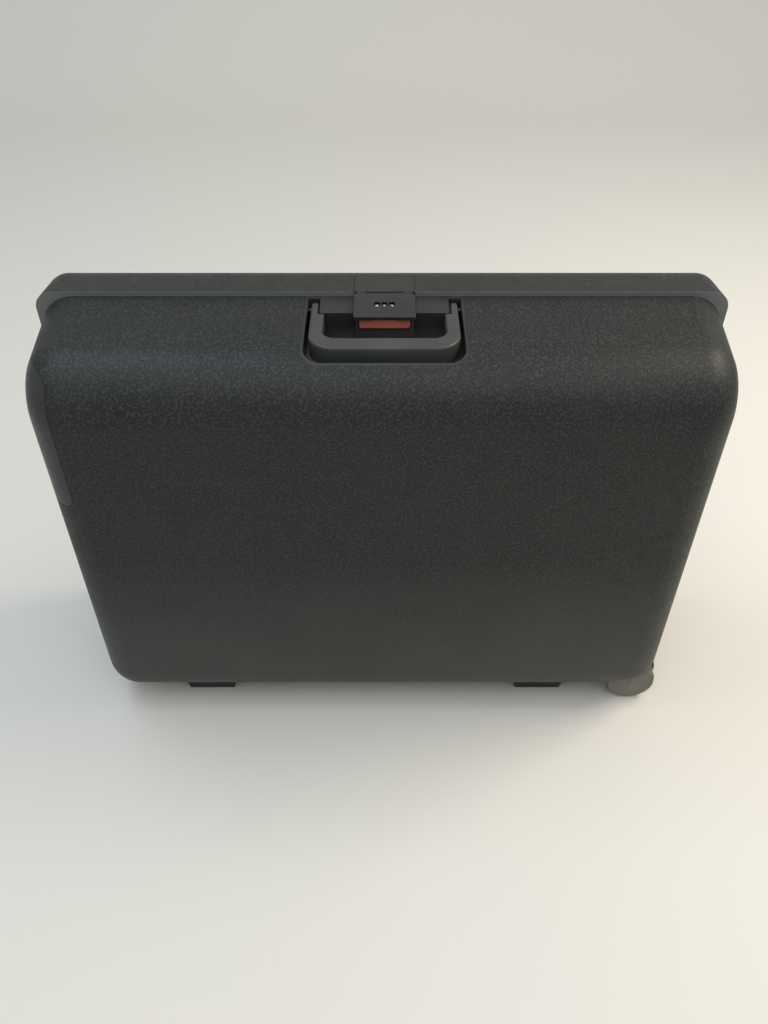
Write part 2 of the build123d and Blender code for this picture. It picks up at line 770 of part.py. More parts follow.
def tow_pin():
    """The pin that the tow handle swings on."""
    y0 = tow_y0 - tow_pocket_wall + tow_pin_floor + slip
    return bar_y(tow_pin_radius, tow_x, y0, tow_y1 + tow_pocket_wall, tow_pivot_height)


def wheel_housing():
    """The moulded wheel box in the lower right corner, with its arch, axle boss and fender."""
    arch = wheel_arch(housing_radius, front_y, housing_y1)
    arch -= wheel_arch(arch_radius, front_y - 1, housing_y1 - arch_wall)
    arch = arch & base_outer
    core_y0 = front_wheel_y1 + wheel_side_gap
    core_y1 = rear_wheel_y0 - wheel_side_gap
    core = wheel_arch(arch_radius + arch_wall / 2, core_y0, core_y1) & base_outer
    boss = wheel_arch(hub_boss_radius + wheel_side_gap, core_y0, core_y1)
    fender = wheel_arch(wheel_radius + fender_proud, core_y0, core_y0 + fender_thickness)
    fender = fender & block(0, reach, front_y, rear_y, fender_bottom, reach)
    housing = arch + core + boss + fender
    return housing - wheel_arch(axle_radius + fit / 2, front_y, housing_y1 - arch_wall / 2)


def wheel_axle():
    """The steel axle with its round head at the front."""
    rod = wheel_arch(axle_radius, front_wheel_y0, housing_y1 - arch_wall)
    half = axle_head_thickness / 2
    head = wheel_arch(axle_head_radius, front_wheel_y0 - half, front_wheel_y0 + half)
    return rod + chamfer(head.edges().group_by(Axis.Y)[0], half)


def tyre(y0):
    """The rubber tread ring of a wheel."""
    ring = wheel_arch(wheel_radius, y0, y0 + wheel_width)
    ring = chamfer(ring.edges().filter_by(GeomType.CIRCLE), tyre_shoulder)
    return ring - wheel_arch(wheel_radius - tyre_depth, y0 - 1, y0 + wheel_width + 1)


def hub(y0):
    """The moulded wheel centre with dished faces and a bearing boss."""
    radius = wheel_radius - tyre_depth
    body = wheel_arch(radius, y0 + hub_inset, y0 + wheel_width - hub_inset)
    floor_y = y0 + hub_inset + hub_recess
    dish = wheel_arch(radius - hub_rim, y0, floor_y) - wheel_arch(hub_boss_radius, y0, floor_y)
    body -= dish
    body -= Pos(0, wheel_width - hub_recess - hub_inset, 0) * dish
    body -= wheel_arch(axle_radius + fit, y0 - 1, y0 + wheel_width + 1)
    if y0 == front_wheel_y0:
        body -= wheel_arch(axle_head_radius + slip, y0, y0 + hub_inset + axle_head_thickness / 2)
    return body


def feet(y0, y1, form):
    """A pair of tapered feet under one half of the case."""
    plane = Plane(origin=(0, y1, 0), x_dir=(1, 0, 0), z_dir=(0, -1, 0))
    height = bottom_z + wall * 4
    spread = foot_taper * height / bottom_z
    pair = []
    for x in foot_centres:
        half = foot_length / 2 - foot_taper
        corners = [(-half, 0), (half, 0), (half + spread, height), (-half - spread, height)]
        outline = make_face(Polyline(*corners, close=True))
        foot = extrude(plane * Pos(x, 0) * outline, y1 - y0)
        foot = fillet(foot.faces().sort_by(Axis.Z)[0].edges(), foot_round)
        pair.append(foot - form)
    return pair[0] + pair[1]


def hinge_leaves(toward_lid):
    """The three hinge leaves of one side, with their knuckles. Their tops follow the shell."""
    side = 1 if toward_lid else -1
    form = lid_form(-seat) if toward_lid else base_form(-seat)
    half = hinge_length / 2
    leaves = []
    for x in hinge_centres:
        near = hinge_barrel_radius + slip
        y0, y1 = sorted((parting_y + side * near, parting_y + side * hinge_leaf_width))
        leaf = block(x - half, x + half, y0, y1, leaf_bottom, bottom_z + wall)
        corners = leaf.edges().filter_by(Axis.Z).group_by(Axis.Y)[-1 if toward_lid else 0]
        leaf = fillet(corners, hinge_leaf_corner)
        if toward_lid:
            spans = [(x - hinge_knuckle_half, x + hinge_knuckle_half)]
        else:
            gap = hinge_knuckle_half + hinge_barrel_gap
            spans = [(x - half, x - gap), (x + gap, x + half)]
        for x0, x1 in spans:
            y0, y1 = sorted((parting_y, parting_y + side * (near + 1)))
            leaf += block(x0, x1, y0, y1, leaf_bottom, leaf_top)
            leaf += bar_x(hinge_barrel_radius, x0, x1, hinge_y, hinge_z)
        clearance = fit if toward_lid else fit / 2
        leaf -= form
        leaf -= bar_x(hinge_pin_radius + clearance, x - half - 1, x + half + 1, hinge_y, hinge_z)
        leaves.append(leaf)
    joined = leaves[0] + leaves[1] + leaves[2]
    for hole in rivet_holes(toward_lid):
        joined -= hole
    return joined


def hinge_pins():
    """The three hinge pins."""
    half = hinge_length / 2 - slip
    pins = [bar_x(hinge_pin_radius, x - half, x + half, hinge_y, hinge_z) for x in hinge_centres]
    return pins[0] + pins[1] + pins[2]


def rivets(toward_lid):
    """The hinge rivets of one side, headed outside the leaf and inside the shell."""
    group = None
    rise = 0 if toward_lid else edge_taper * (rivet_y_offset + rivet_head_radius) / base_depth
    inner_z = bottom_z + wall + fit + rise
    for x, y in rivet_places(toward_lid):
        shank = bar_z(rivet_radius, x, y, leaf_bottom - rivet_head_height, inner_z + rivet_head_height)
        outer_head = bar_z(rivet_head_radius, x, y, leaf_bottom - rivet_head_height, leaf_bottom)
        outer_head = chamfer(outer_head.edges().group_by(Axis.Z)[0], rivet_head_height * 0.6)
        inner_head = bar_z(rivet_head_radius, x, y, inner_z, inner_z + rivet_head_height)
        rivet = shank + outer_head + inner_head
        group = rivet if group is None else group + rivet
    return group


def rear_shell():
    """The shallow shell of the lid, with a flange and the locating tongue on its rim."""
    tongue_outer = wall + rim_lip_extra + tongue_gap
    tongue_inner = tongue_outer + tongue_thickness
    flange_y1 = parting_y + rim_lip_depth
    flange = lid_form(wall / 2) & block(-reach, reach, parting_y, flange_y1, 0, reach)
    flange -= rim_prism(tongue_inner, parting_y - 1, flange_y1 + 1)
    tongue = rim_band(tongue_outer, tongue_inner, parting_y - tongue_reach, flange_y1) - lip_cutter
    tongue -= block(-reach, reach, front_y, parting_y, 0, tongue_end_z)
    shell = (lid_outer - lid_inner) + flange + tongue
    shell -= Pos(latch_shift, 0, 0) * plate_pocket()
    for hole in rivet_holes(True):
        shell -= hole
    return shell


def save_latch_group():
    """Write the pieces that sit round the latch, which is a little to one side of the middle."""
    pieces = {
        "handle_recess": handle_recess(),
        "handle_pins": handle_pins(),
        "carry_handle": carry_handle(),
        "lock_case": lock_case(),
        "latch_keeper": latch_keeper(),
        "lock_catch": lock_catch(),
        "release_tab": release_tab(),
        "tab_spring": tab_spring(),
        "dial_shaft": dial_shaft(),
        "dial_detent": dial_detent(),
        "hasp": hasp(),
        "hasp_hooks": hasp_hooks(),
        "hasp_pin": hasp_pin(),
        "latch_plate": latch_plate(),
    }
    for number, centre in enumerate(dial_centres, start=1):
        pieces[f"dial_{number}"] = dial(centre)
    for name, piece in pieces.items():
        save(name, Pos(latch_shift, 0, 0) * piece)


def make_all():
    """Build every sub-part."""
    os.makedirs("parts", exist_ok=True)
    save("front_shell", front_shell())
    save("rear_shell", rear_shell())
    save("rim_seal", rim_seal())
    save_latch_group()
    save("tow_insert", tow_insert())
    save("tow_handle", tow_handle())
    save("tow_pin", tow_pin())
    save("wheel_housing", wheel_housing())
    save("wheel_axle", wheel_axle())
    for name, y0 in (("front", front_wheel_y0), ("rear", rear_wheel_y0)):
        save(f"{name}_tyre", tyre(y0))
        save(f"{name}_hub", hub(y0))
    foot_y0 = front_y + foot_front_setback
    save("front_feet", feet(foot_y0, foot_y0 + foot_width, base_form(-seat)))
    foot_y1 = rear_y - foot_front_setback
    save("rear_feet", feet(foot_y1 - foot_width, foot_y1, lid_form(-seat)))
    save("base_hinge_leaves", hinge_leaves(False))
    save("lid_hinge_leaves", hinge_leaves(True))
    save("hinge_pins", hinge_pins())
    save("base_rivets", rivets(False))
    save("lid_rivets", rivets(True))


make_all()
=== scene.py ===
# %% [markdown]
# A hard-shell suitcase, dressed for its picture.
#
# The object is a dark moulded case that stands on its hinge edge: a deep front shell, a shallow lid behind
# it, a folding carry handle with a combination lock in the top, a tow handle in the left end and two wheels
# at the lower right corner. The construction model gives every rigid piece at its real size. This script
# gives each piece its finish, adds what is too fine for construction, and sets the light and the camera.

# %% Load the construction model
import math

import bpy
import numpy as np
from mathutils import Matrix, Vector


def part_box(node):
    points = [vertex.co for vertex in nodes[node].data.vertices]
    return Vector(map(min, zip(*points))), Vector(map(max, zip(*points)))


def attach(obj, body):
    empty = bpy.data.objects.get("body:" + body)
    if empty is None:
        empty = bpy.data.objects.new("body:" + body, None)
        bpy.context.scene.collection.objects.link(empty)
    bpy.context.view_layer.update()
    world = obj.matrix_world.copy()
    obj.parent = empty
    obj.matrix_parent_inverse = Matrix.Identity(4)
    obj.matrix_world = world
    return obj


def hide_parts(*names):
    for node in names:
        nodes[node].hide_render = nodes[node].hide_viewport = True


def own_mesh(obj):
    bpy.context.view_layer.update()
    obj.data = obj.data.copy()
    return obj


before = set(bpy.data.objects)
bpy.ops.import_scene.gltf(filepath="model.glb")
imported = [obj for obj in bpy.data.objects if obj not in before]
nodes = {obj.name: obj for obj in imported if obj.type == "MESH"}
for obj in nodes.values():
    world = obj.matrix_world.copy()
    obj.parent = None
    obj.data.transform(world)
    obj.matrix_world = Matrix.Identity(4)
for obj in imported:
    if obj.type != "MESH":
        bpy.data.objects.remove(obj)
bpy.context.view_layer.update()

# %% [markdown]
# The camera is close in front of the case, almost a metre above the floor. It looks down by 42 degrees, so
# the upright case fills the frame from side to side and its lower edge looks shorter than its top. A lens
# length in millimetres belongs to a sensor width, so both are set. The picture has no lens shift and no blur.

# %% Camera
PICTURE_WIDTH = 768
FOCAL_PIXELS = 870
SENSOR_WIDTH = 36.0
CAMERA_PLACE = (0.0021, -0.805, 0.977)
CAMERA_PITCH_DOWN = math.radians(42.0)

camera_data = bpy.data.cameras.new("camera")
camera_data.sensor_fit = "HORIZONTAL"
camera_data.sensor_width = SENSOR_WIDTH
camera_data.lens = FOCAL_PIXELS / PICTURE_WIDTH * SENSOR_WIDTH
camera = bpy.data.objects.new("camera", camera_data)
camera.location = CAMERA_PLACE
camera.rotation_euler = (math.pi / 2 - CAMERA_PITCH_DOWN, 0.0, 0.0)
bpy.context.scene.collection.objects.link(camera)
bpy.context.scene.camera = camera
print("lens:", round(camera_data.lens, 2), "mm")

# %% [markdown]
# Every new surface in this script is a grid of points worked out with numpy. One helper turns such a grid
# into a mesh: point (i, j) of the grid is vertex i * columns + j, and each square between four neighbours
# is a face. A grid that closes on itself joins its last column to its first.


# %% Helper: a grid of points becomes a mesh
def new_object(name, vertices, faces, smooth=True):
    """Makes a mesh object from an array of points and a list or array of faces."""
    mesh = bpy.data.meshes.new(name)
    mesh.from_pydata(np.asarray(vertices).tolist(), [], [list(map(int, f)) for f in faces])
    mesh.polygons.foreach_set("use_smooth", np.full(len(mesh.polygons), smooth))
    mesh.update()
    piece = bpy.data.objects.new(name, mesh)
    bpy.context.scene.collection.objects.link(piece)
    return piece


def grid_faces(rows, columns, close_columns=False):
    """Squares of a rows x columns grid: (i, j), (i+1, j), (i+1, j+1), (i, j+1), wrapped where it closes."""
    i = np.arange(rows - 1)
    j = np.arange(columns if close_columns else columns - 1)
    i, j = np.meshgrid(i, j, indexing="ij")
    j_next = (j + 1) % columns
    corners = (i * columns + j, (i + 1) * columns + j, (i + 1) * columns + j_next, i * columns + j_next)
    return np.stack(corners, axis=-1).reshape(-1, 4)


print("grid helper: a 3 x 3 grid has", len(grid_faces(3, 3)), "faces")

# %% [markdown]
# The set is a pale sheet that lies on the floor and curves up behind the case, as in a small studio. It is
# one profile, a flat run, a quarter circle and a wall, carried along X. It reaches far out, so that pictures
# from other sides have a distant horizon.

# %% Floor and backdrop
SWEEP_HALF_WIDTH = 20.0
SWEEP_FRONT = -20.0
SWEEP_REAR = 2.2
SWEEP_RADIUS = 1.2
SWEEP_HEIGHT = 4.0
SWEEP_STEPS = 33


def sweep_sheet():
    """Floor points (x, y(t), z(t)): flat to the rear line, a quarter circle of the sweep radius, then up."""
    angle = np.linspace(0.0, math.pi / 2, SWEEP_STEPS)
    bend_y = SWEEP_REAR + SWEEP_RADIUS * np.sin(angle)
    bend_z = SWEEP_RADIUS * (1.0 - np.cos(angle))
    profile_y = np.concatenate(([SWEEP_FRONT], bend_y, [SWEEP_REAR + SWEEP_RADIUS]))
    profile_z = np.concatenate(([0.0], bend_z, [SWEEP_HEIGHT]))
    x = np.array([-SWEEP_HALF_WIDTH, SWEEP_HALF_WIDTH])
    points = np.empty((2, len(profile_y), 3))
    points[..., 0] = x[:, None]
    points[..., 1] = profile_y
    points[..., 2] = profile_z
    return new_object("floor_sweep", points.reshape(-1, 3), grid_faces(2, len(profile_y)))


floor = sweep_sheet()
print("floor sweep:", len(floor.data.polygons), "faces")

# %% [markdown]
# Light. A soft, slightly blue lamp hangs above the left half of the case and a little behind it. It draws
# the pale band along the rounded top edge. A wide lamp above the floor in front keeps that floor bright,
# and the front of the case mirrors it faintly. A warm lamp above the right end lights the top there and the
# floor beside it. The world fills the shade with an even, slightly cool light, and where the camera looks
# past the sheet it sees a plain pale tone instead.

# %% Lamps and world
CASE_MIDDLE = (0.0, 0.0, 0.3)
ROOM_LIGHT = (0.93, 0.96, 1.0, 1.0)
ROOM_STRENGTH = 0.56
ROOM_SEEN = (0.43, 0.425, 0.40, 1.0)


def area_lamp(name, place, target, size, watts, colour):
    """A rectangular soft lamp at a place that faces a target point."""
    data = bpy.data.lights.new(name, "AREA")
    data.shape = "RECTANGLE"
    data.size, data.size_y = size
    data.energy = watts
    data.color = colour
    lamp = bpy.data.objects.new(name, data)
    direction = np.array(target) - np.array(place)
    yaw = math.atan2(direction[0], -direction[1])
    pitch = math.atan2(math.hypot(direction[0], direction[1]), -direction[2])
    lamp.location = place
    lamp.rotation_euler = (pitch, 0.0, yaw + math.pi)
    bpy.context.scene.collection.objects.link(lamp)


def soft_room():
    """A world that lights with one even colour and shows the camera another."""
    world = bpy.data.worlds.new("soft_room")
    world.use_nodes = True
    tree = world.node_tree
    lighting = tree.nodes["Background"]
    lighting.inputs["Color"].default_value = ROOM_LIGHT
    lighting.inputs["Strength"].default_value = ROOM_STRENGTH
    seen = tree.nodes.new("ShaderNodeBackground")
    seen.inputs["Color"].default_value = ROOM_SEEN
    path = tree.nodes.new("ShaderNodeLightPath")
    choice = tree.nodes.new("ShaderNodeMixShader")
    tree.links.new(path.outputs["Is Camera Ray"], choice.inputs["Fac"])
    tree.links.new(lighting.outputs["Background"], choice.inputs[1])
    tree.links.new(seen.outputs["Background"], choice.inputs[2])
    tree.links.new(choice.outputs["Shader"], tree.nodes["World Output"].inputs["Surface"])
    return world


area_lamp("overhead", place=(-0.9, 0.12, 2.4), target=CASE_MIDDLE, size=(1.3, 0.8), watts=15.0,
          colour=(0.66, 0.84, 1.0))
area_lamp("warm_side", place=(1.5, 0.22, 1.7), target=(0.7, -0.1, 0.0), size=(0.9, 0.9), watts=26.0,
          colour=(1.0, 0.88, 0.70))
area_lamp("front_over", place=(0.1, -1.3, 2.5), target=(0.0, -0.4, 0.0), size=(2.4, 1.4), watts=17.0,
          colour=(1.0, 0.96, 0.90))
bpy.context.scene.world = soft_room()
bpy.context.scene.view_settings.view_transform = "Standard"

# %% [markdown]
# Materials. Each finish is a small graph of nodes: a colour that varies a little, a roughness that varies a
# little, and a bump for the surface's own relief. All patterns read Object coordinates in metres, so a
# pattern's scale is about how often it repeats in a metre: a grain of one millimetre has a scale near 1000.
# The pattern stays on the piece when it moves. Tones are linear red, green and blue, and heights, widths and
# depths are in metres.

# %% Helper: small node graphs
NOISE_SPAN = (0.3, 0.7)  # where nearly all of a noise's values lie
CLOUD_SPAN = (0.35, 0.65)  # a narrower span, which gives clouds with clearer edges


class Graph:
    """A material's node tree with short ways to add and join nodes."""

    def __init__(self, name, roughness, specular=0.5):
        self.material = bpy.data.materials.new(name)
        self.material.use_nodes = True
        self.tree = self.material.node_tree
        self.shader = self.tree.nodes["Principled BSDF"]
        self.shader.inputs["Roughness"].default_value = roughness
        self.shader.inputs["Specular IOR Level"].default_value = specular
        self.coordinates = self.tree.nodes.new("ShaderNodeTexCoord").outputs["Object"]

    def link(self, output, target):
        """Joins an output to an input."""
        self.tree.links.new(output, target)

    def noise(self, scale, detail=2.0, roughness=0.5, vector=None):
        """Smooth noise on Object coordinates."""
        node = self.tree.nodes.new("ShaderNodeTexNoise")
        node.inputs["Scale"].default_value = scale
        node.inputs["Detail"].default_value = detail
        node.inputs["Roughness"].default_value = roughness
        self.link(vector or self.coordinates, node.inputs["Vector"])
        return node.outputs["Fac"]

    def cells(self, scale):
        """Distance to the nearest of scattered points, for grains and pebbles."""
        node = self.tree.nodes.new("ShaderNodeTexVoronoi")
        node.inputs["Scale"].default_value = scale
        self.link(self.coordinates, node.inputs["Vector"])
        return node.outputs["Distance"]

    def stretched(self, factors):
        """Object coordinates scaled by a factor along each axis."""
        node = self.tree.nodes.new("ShaderNodeMapping")
        node.inputs["Scale"].default_value = factors
        self.link(self.coordinates, node.inputs["Vector"])
        return node.outputs["Vector"]

    def along(self, axis):
        """One Object coordinate, in metres."""
        node = self.tree.nodes.new("ShaderNodeSeparateXYZ")
        self.link(self.coordinates, node.inputs["Vector"])
        return node.outputs[axis]

    def remap(self, value, low, high, to_low=0.0, to_high=1.0):
        """A clamped straight-line change of range."""
        node = self.tree.nodes.new("ShaderNodeMapRange")
        for socket, number in zip(("From Min", "From Max", "To Min", "To Max"), (low, high, to_low, to_high)):
            node.inputs[socket].default_value = number
        self.link(value, node.inputs["Value"])
        return node.outputs["Result"]

    def product(self, first, second):
        """Two values multiplied."""
        node = self.tree.nodes.new("ShaderNodeMath")
        node.operation = "MULTIPLY"
        self.link(first, node.inputs[0])
        self.link(second, node.inputs[1])
        return node.outputs["Value"]

    def blend(self, factor, first, second):
        """A mix of two colours by a factor."""
        node = self.tree.nodes.new("ShaderNodeMix")
        node.data_type = "RGBA"
        self.link(factor, node.inputs["Factor"])
        for socket, colour in zip((node.inputs[6], node.inputs[7]), (first, second)):
            if isinstance(colour, tuple):
                socket.default_value = (*colour, 1.0)
            else:
                self.link(colour, socket)
        return node.outputs[2]

    def bump(self, height, depth, strength, below=None):
        """Turns a height into surface relief of a given depth in metres, on top of another relief if any."""
        node = self.tree.nodes.new("ShaderNodeBump")
        node.inputs["Strength"].default_value = strength
        node.inputs["Distance"].default_value = depth
        self.link(height, node.inputs["Height"])
        if below is not None:
            self.link(below, node.inputs["Normal"])
        self.link(node.outputs["Normal"], self.shader.inputs["Normal"])
        return node.outputs["Normal"]

    def colour(self, output):
        """Sends a colour to the shader."""
        self.link(output, self.shader.inputs["Base Color"])

    def rough(self, value, low, high, span=NOISE_SPAN):
        """Sends a roughness to the shader that goes from low to high as the value crosses its span."""
        self.link(self.remap(value, *span, low, high), self.shader.inputs["Roughness"])


def dress(material, *names):
    """Puts one material in every slot of each named construction piece."""
    for name in names:
        materials = nodes[name].data.materials
        if not materials:
            materials.append(material)
        for index in range(len(materials)):
            materials[index] = material


print("node helpers:", ", ".join(n for n in vars(Graph) if not n.startswith("_")))

# %% [markdown]
# The shells are injection moulded in charcoal plastic. The mould's surface is etched, which gives a fine
# even grain that scatters the light and hides scratches. The grain is a bump from scattered cells, about
# 0.9 mm apart, with a little noise on top, and a coarser speckle shifts the colour a little. The case is
# painted paler towards the bottom, painted light from the bright floor, and rubbing on floors leaves faint
# scuffs at the very bottom, where a stretched noise is high. On the lid, the narrow edge that meets the
# front shell carries a painted highlight along its whole length.

# %% Material: grained shell plastic
CHARCOAL_DARK = (0.0116, 0.0134, 0.0132)
CHARCOAL_PALE = (0.0148, 0.0166, 0.0160)
SPECKLE_TONE = (0.032, 0.036, 0.033)
SPECKLE_SCALE = 430.0
SPECKLE_SPAN = (0.45, 0.75)
# Painted light from the bright floor: the shells turn paler towards the bottom.
FLOOR_LIGHT_TONE = (0.066, 0.066, 0.060)
FLOOR_LIGHT_BOTTOM = 0.03
FLOOR_LIGHT_TOP = 0.28
FLOOR_LIGHT_LEAST = 0.8
SCUFF_TONE = (0.075, 0.075, 0.075)
SCUFF_BOTTOM = 0.02
SCUFF_TOP = 0.10
SCUFF_STRETCH = (1.0, 1.0, 0.25)
SCUFF_SPAN = (0.62, 0.74)
SCUFF_MOST = 0.6
# Painted highlight: a pale line along the lid's edge that meets the front shell.
EDGE_HIGHLIGHT_TONE = (0.140, 0.146, 0.146)
EDGE_HIGHLIGHT_WIDTH = 0.0009
PARTING_Y = 0.035
GRAIN_SCALE = 1150.0
GRAIN_DEPTH = 0.00011
FINE_GRAIN_SCALE = 2600.0
FINE_GRAIN_DEPTH = 0.00003


def shell_plastic(name, specular, highlight_edge=None):
    """Etched charcoal plastic: fine grain, faint clouds, painted floor light low down, scuffs, and perhaps a
    painted edge highlight.
    """
    g = Graph(name, roughness=0.5, specular=specular)
    clouds = g.remap(g.noise(scale=9.0, detail=3.0), *CLOUD_SPAN)
    tone = g.blend(clouds, CHARCOAL_DARK, CHARCOAL_PALE)
    tone = g.blend(g.remap(g.cells(SPECKLE_SCALE), *SPECKLE_SPAN), tone, SPECKLE_TONE)
    # Painted light from the bright floor, paler towards the bottom, more where the clouds are pale.
    dust_and_painted_light = g.remap(g.along("Z"), FLOOR_LIGHT_BOTTOM, FLOOR_LIGHT_TOP, 1.0, 0.0)
    uneven = g.remap(clouds, 0.0, 1.0, FLOOR_LIGHT_LEAST, 1.0)
    tone = g.blend(g.product(dust_and_painted_light, uneven), tone, FLOOR_LIGHT_TONE)
    # Painted highlight along the lid's edge.
    if highlight_edge is not None:
        edge = g.remap(g.along("Y"), highlight_edge, highlight_edge + EDGE_HIGHLIGHT_WIDTH, 1.0, 0.0)
        tone = g.blend(edge, tone, EDGE_HIGHLIGHT_TONE)
    low = g.remap(g.along("Z"), SCUFF_BOTTOM, SCUFF_TOP, 1.0, 0.0)
    streaks = g.noise(scale=60.0, detail=6.0, roughness=0.7, vector=g.stretched(SCUFF_STRETCH))
    streaks = g.remap(streaks, *SCUFF_SPAN, 0.0, SCUFF_MOST)
    g.colour(g.blend(g.product(low, streaks), tone, SCUFF_TONE))
    g.rough(g.noise(scale=35.0, detail=4.0), low=0.46, high=0.54)
    grain = g.bump(g.cells(GRAIN_SCALE), GRAIN_DEPTH, strength=0.55)
    g.bump(g.noise(FINE_GRAIN_SCALE), FINE_GRAIN_DEPTH, strength=0.5, below=grain)
    return g.material


dress(shell_plastic("front_shell_plastic", specular=0.28), "front_shell")
dress(shell_plastic("rear_shell_plastic", specular=0.42, highlight_edge=PARTING_Y), "rear_shell")
print("grained shells: front_shell, rear_shell")

# %% [markdown]
# The recess tray, the left end's insert, the tow handle and the wheel box are separate mouldings in the same
# colour, but with a smoother satin face, which is how one tells them from the shells. The lock case, the
# latch, the number wheels, the red tab, the carry handle, the feet and the hubs are satin mouldings too, each
# kind in its own tone; the lock case's tone is painted paler, painted fill light in the recess's shade. The
# recess tray is painted paler with depth, painted fill light, so that its interior doesn't read as a black
# hole.

# %% Material: satin mouldings
# Painted fill light: the recess tray is painted paler with depth.
RECESS_FILL_LIGHT_TONE = (0.085, 0.088, 0.086)
RECESS_FILL_LIGHT_BOTTOM = 0.492
RECESS_FILL_LIGHT_TOP = 0.512
SATIN_SPREAD = 0.05

# One row for each finish: darker tone, paler tone, mean roughness, depth of the ripple in metres, pieces.
SATIN_FINISHES = {
    "moulding_satin": ((0.018, 0.019, 0.020), (0.023, 0.024, 0.025), 0.42, 0.00002,
                       ("tow_insert", "tow_handle", "wheel_housing")),
    "recess_satin": ((0.018, 0.019, 0.020), (0.023, 0.024, 0.025), 0.46, 0.00002, ("handle_recess",)),
    # Painted fill light: the lock case's tone is paler than its own colour, as it sits in the recess's shade.
    "lock_plastic_fill_lit": ((0.040, 0.042, 0.042), (0.048, 0.050, 0.049), 0.42, 0.00002, ("lock_case",)),
    "latch_plastic": ((0.016, 0.018, 0.018), (0.021, 0.023, 0.023), 0.40, 0.00002, ("hasp", "latch_plate")),
    "foot_plastic": ((0.018, 0.018, 0.019), (0.026, 0.026, 0.027), 0.50, 0.00006,
                     ("front_feet", "rear_feet")),
    "grip_plastic": ((0.044, 0.047, 0.047), (0.053, 0.056, 0.055), 0.42, 0.00003, ("carry_handle",)),
    "tab_plastic": ((0.500, 0.135, 0.100), (0.560, 0.155, 0.115), 0.46, 0.00002, ("release_tab",)),
    "hub_plastic": ((0.135, 0.127, 0.108), (0.165, 0.155, 0.131), 0.55, 0.00002, ("front_hub", "rear_hub")),
    "dial_plastic": ((0.030, 0.031, 0.031), (0.038, 0.039, 0.039), 0.40, 0.00002,
                     ("dial_1", "dial_2", "dial_3")),
}


def satin_plastic(name, dark, pale, roughness, ripple, fill_lit_recess):
    """Smooth moulded plastic with slight clouding, a barely visible ripple and perhaps painted fill light low
    down.
    """
    g = Graph(name, roughness, specular=0.45)
    tone = g.blend(g.remap(g.noise(scale=24.0, detail=3.0), *CLOUD_SPAN), dark, pale)
    # Painted fill light deep in the recess: paler with depth.
    if fill_lit_recess:
        dust_and_painted_light = g.remap(g.along("Z"), RECESS_FILL_LIGHT_BOTTOM, RECESS_FILL_LIGHT_TOP, 1.0, 0.0)
        tone = g.blend(dust_and_painted_light, tone, RECESS_FILL_LIGHT_TONE)
    g.colour(tone)
    g.rough(g.noise(scale=90.0, detail=4.0), roughness - SATIN_SPREAD, roughness + SATIN_SPREAD)
    g.bump(g.noise(scale=1500.0), ripple, strength=0.5)
    return g.material


for name, (dark, pale, roughness, ripple, pieces) in SATIN_FINISHES.items():
    dress(satin_plastic(name, dark, pale, roughness, ripple, "handle_recess" in pieces), *pieces)
print("satin finishes:", ", ".join(SATIN_FINISHES))

# %% [markdown]
# Rubber is dull and slightly dusty. The tyres have rolled over floors, so their faces carry a pale dust in
# patches. Plated steel is bright under fine drawn lines with small stains. Blackened steel, for the pins of
# both handles and the axle, is dark, with patches that are polished a little.

# %% Materials: rubber and steel
RUBBER_BLACK = (0.018, 0.018, 0.018)
TYRE_DUST = (0.250, 0.235, 0.198)
SEAL_DUST = (0.030, 0.030, 0.030)
RUBBER_DUST_SPAN = (0.36, 0.66)
STEEL_CLEAN = (0.52, 0.52, 0.53)
STEEL_STAIN = (0.33, 0.32, 0.31)
STAIN_SPAN = (0.5, 0.75)
STAIN_MOST = 0.6
STEEL_LINES = (0.05, 1.0, 1.0)
OXIDE_DARK = (0.020, 0.020, 0.021)
OXIDE_POLISHED = (0.045, 0.045, 0.046)
OXIDE_SPAN = (0.45, 0.70)
STEEL_RELIEF = 0.00002
RUBBER_RELIEF = 0.00012


def worn_rubber(name, dust_tone):
    """Dull black rubber with dust where a noise is high, and a pitted bump."""
    g = Graph(name, roughness=0.75, specular=0.3)
    dust_and_painted_light = g.remap(g.noise(scale=140.0, detail=5.0, roughness=0.65), *RUBBER_DUST_SPAN)
    g.colour(g.blend(dust_and_painted_light, RUBBER_BLACK, dust_tone))
    g.rough(g.noise(scale=60.0, detail=3.0), low=0.68, high=0.86)
    g.bump(g.noise(scale=900.0, detail=3.0), RUBBER_RELIEF, strength=0.6)
    return g.material


def plated_steel():
    """Zinc plated steel with drawn lines along X and faint dark stains."""
    g = Graph("plated_steel", roughness=0.35)
    g.shader.inputs["Metallic"].default_value = 1.0
    stains = g.remap(g.noise(scale=70.0, detail=4.0), *STAIN_SPAN, 0.0, STAIN_MOST)
    g.colour(g.blend(stains, STEEL_CLEAN, STEEL_STAIN))
    lines = g.noise(scale=900.0, vector=g.stretched(STEEL_LINES))
    g.rough(lines, low=0.26, high=0.44)
    g.bump(lines, STEEL_RELIEF, strength=0.5)
    return g.material


def black_steel():
    """Blackened steel: dark oxide with slightly polished, paler patches."""
    g = Graph("black_steel", roughness=0.45)
    patches = g.remap(g.noise(scale=300.0, detail=4.0), *OXIDE_SPAN)
    g.colour(g.blend(patches, OXIDE_DARK, OXIDE_POLISHED))
    g.rough(patches, low=0.50, high=0.38, span=(0.0, 1.0))
    g.bump(g.noise(scale=1200.0), STEEL_RELIEF, strength=0.5)
    return g.material


